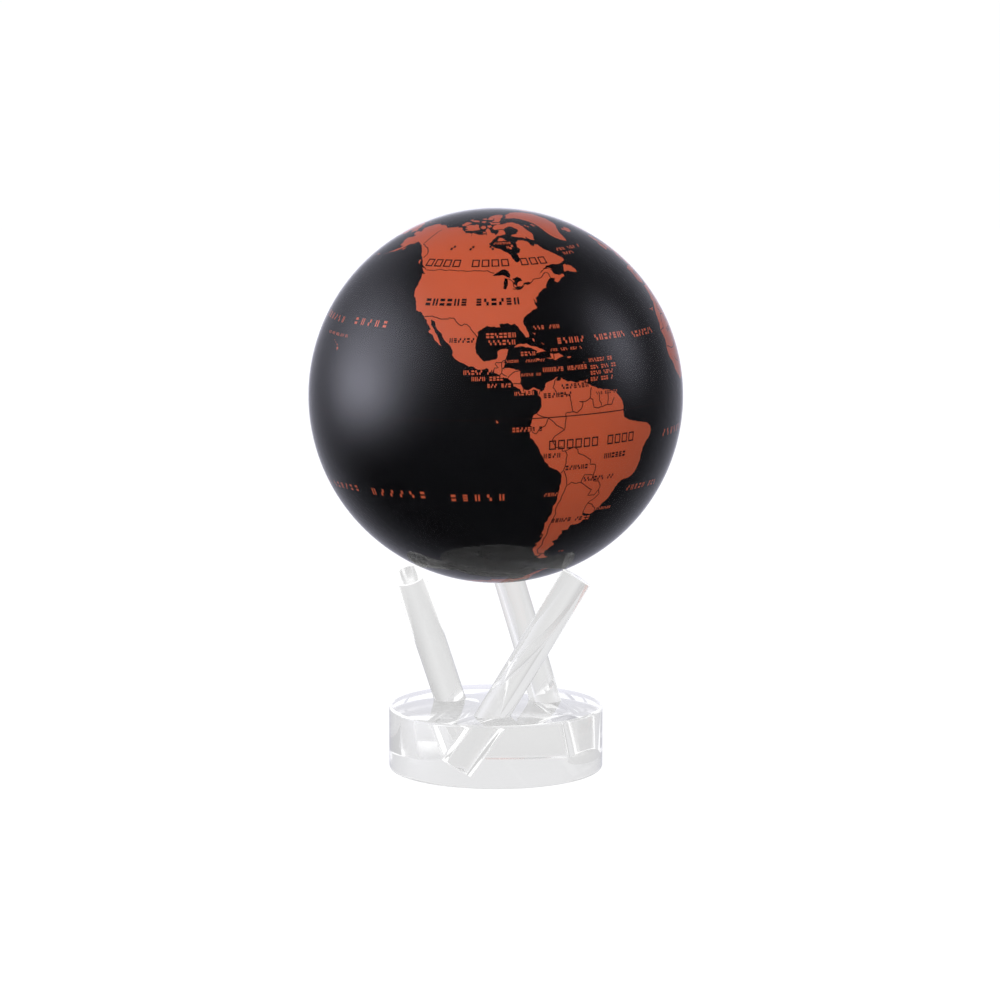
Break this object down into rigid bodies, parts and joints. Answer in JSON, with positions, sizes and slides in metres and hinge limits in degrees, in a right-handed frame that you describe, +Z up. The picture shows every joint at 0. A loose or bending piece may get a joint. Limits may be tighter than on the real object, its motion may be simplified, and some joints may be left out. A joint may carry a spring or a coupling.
{
  "type": "desktop globe on stand",
  "caption": "Self-turning desktop globe: a printed globe floats in liquid inside a clear ball, which rests on leaning clear rods in a round clear base.",
  "frame": {"origin": "centre of the base's underside", "axes": "+Z up along the globe's turning axis; the front rod leans along +X, and -Y is the front"},
  "size_m": [0.1142, 0.1142, 0.1725],
  "materials": {
    "clear_acrylic": "clear, polished, cast acrylic",
    "light_liquid": "clear liquid, lighter than water",
    "heavy_liquid": "clear liquid, heavier than water",
    "map_print": "satin print: black sea, metallic copper land",
    "globe_shell": "translucent ivory moulding",
    "dark_plastic": "moulded, fine texture",
    "brass": "turned",
    "steel": "machined",
    "magnet": "nickel-plated magnet",
    "copper": "bare or enamelled copper",
    "circuit_board": "green solder mask",
    "solar_cell": "dark blue silicon under glass",
    "jewel": "polished synthetic ruby",
    "lead_red": "insulated wire"
  },
  "bodies": {
    "stand": {"base_puck": "clear_acrylic", "stand_rod_front": "clear_acrylic", "stand_rod_right": "clear_acrylic", "stand_rod_left": "clear_acrylic"},
    "liquid": {"upper_liquid": "light_liquid", "lower_liquid": "heavy_liquid"},
    "outer_ball": {"clear_ball_upper": "clear_acrylic", "clear_ball_lower": "clear_acrylic", "fill_plug": "clear_acrylic"},
    "inner_globe": {"map_skin": "map_print", "globe_half_north": "globe_shell", "globe_half_south": "globe_shell", "equator_ring": "dark_plastic", "deck_plate": "dark_plastic", "deck_screws": "steel", "cell_board": "circuit_board", "solar_cells": "solar_cell", "drive_coils": "copper", "bearing_bridge": "brass", "bridge_screws": "steel", "upper_jewel": "jewel", "lower_jewel": "jewel", "jewel_post": "brass", "frame_pillars": "brass", "pillar_screws": "steel", "ballast_weight": "brass", "brush_block": "dark_plastic", "brush_wires": "copper", "lead_wires": "lead_red"},
    "compass_rotor": {"rotor_shaft": "steel", "compass_magnet": "magnet", "magnet_carrier": "brass", "magnet_yoke": "steel", "drive_magnets": "magnet", "commutator_hub": "dark_plastic", "commutator_segments": "copper"}
  },
  "joints": [
    {"name": "ball_lift", "type": "slide", "parent": "stand", "child": "liquid", "axis": [0, 0, 1], "range_m": [0, 0.08]},
    {"name": "shell_turn", "type": "hinge", "parent": "liquid", "child": "outer_ball", "pos_m": [0, 0, 0.11537], "axis": [0, 0, 1], "continuous": true},
    {"name": "globe_spin", "type": "hinge", "parent": "liquid", "child": "inner_globe", "pos_m": [0, 0, 0.11537], "axis": [0, 0, 1], "continuous": true},
    {"name": "compass_turn", "type": "hinge", "parent": "inner_globe", "child": "compass_rotor", "pos_m": [0, 0, 0.11537], "axis": [0, 0, 1], "continuous": true}
  ],
  "couplings": [
    {"joint": "compass_turn", "follows": "globe_spin", "ratio": -1}
  ]
}
